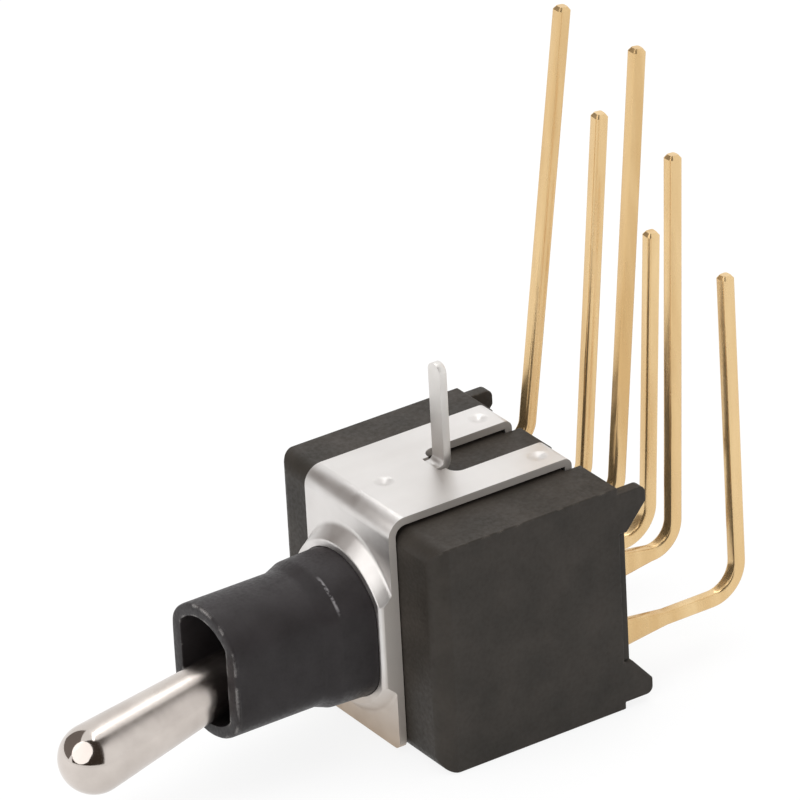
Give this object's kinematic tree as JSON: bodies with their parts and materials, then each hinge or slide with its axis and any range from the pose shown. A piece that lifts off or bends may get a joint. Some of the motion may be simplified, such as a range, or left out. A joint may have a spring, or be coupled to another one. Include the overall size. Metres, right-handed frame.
{
  "type": "miniature toggle switch",
  "caption": "Miniature toggle switch with a bat lever in a flatted plastic sleeve, a bent metal frame over a moulded box, and long right-angle board terminals.",
  "frame": {"origin": "on the sleeve's axis, in the front face of the metal frame's front plate", "axes": "-Y along the sleeve, out through the panel towards the lever; +Z along the terminal legs and the frame's solder pin; +X to the right seen from the lever's side"},
  "size_m": [0.009, 0.025, 0.0219],
  "materials": {
    "lever_metal": "bright nickel plate with fine turning marks",
    "frame_metal": "satin tin plate",
    "black_plastic": "satin moulded",
    "inner_plastic": "plain moulded",
    "seal_rubber": "matt",
    "resin": "smooth poured resin",
    "terminal_gold": "thin gold plate",
    "contact_silver": "silver plate",
    "spring_steel": "bright drawn wire"
  },
  "bodies": {
    "housing": {"bushing_sleeve": "black_plastic", "ball_seal": "seal_rubber", "pivot_retainer": "inner_plastic", "pivot_pin": "spring_steel", "mounting_frame": "frame_metal", "switch_case": "black_plastic", "sleeve_gasket": "seal_rubber", "terminal_base": "black_plastic", "rear_potting": "resin", "terminal_left_top": "terminal_gold", "terminal_left_middle": "terminal_gold", "terminal_left_bottom": "terminal_gold", "terminal_right_top": "terminal_gold", "terminal_right_middle": "terminal_gold", "terminal_right_bottom": "terminal_gold"},
    "lever": {"toggle_lever": "lever_metal", "actuator": "inner_plastic", "spring_left": "spring_steel", "spring_right": "spring_steel"},
    "left_plunger": {"plunger_left": "contact_silver"},
    "right_plunger": {"plunger_right": "contact_silver"},
    "left_rocker": {"rocker_left": "contact_silver"},
    "right_rocker": {"rocker_right": "contact_silver"}
  },
  "joints": [
    {"name": "lever_tilt", "type": "hinge", "parent": "housing", "child": "lever", "pos_m": [0, -0.00245, 0], "axis": [-1, 0, 0], "range_deg": [0, 24.4]},
    {"name": "left_plunger_slide", "type": "slide", "parent": "lever", "child": "left_plunger", "axis": [0, 0.9774, 0.2113], "range_m": [-0.00015, 0], "stiffness_N_per_m": 400, "springref_m": 0.0001, "deforming": ["spring_left"]},
    {"name": "right_plunger_slide", "type": "slide", "parent": "lever", "child": "right_plunger", "axis": [0, 0.9774, 0.2113], "range_m": [-0.00015, 0], "stiffness_N_per_m": 400, "springref_m": 0.0001, "deforming": ["spring_right"]},
    {"name": "left_rocker_tip", "type": "hinge", "parent": "housing", "child": "left_rocker", "pos_m": [-0.00254, 0.00387, 0], "axis": [1, 0, 0], "range_deg": [0, 12]},
    {"name": "right_rocker_tip", "type": "hinge", "parent": "housing", "child": "right_rocker", "pos_m": [0.00254, 0.00387, 0], "axis": [1, 0, 0], "range_deg": [0, 12]}
  ],
  "couplings": [
    {"joint": "left_rocker_tip", "follows": "lever_tilt", "ratio": 0.4918},
    {"joint": "right_rocker_tip", "follows": "lever_tilt", "ratio": 0.4918}
  ]
}
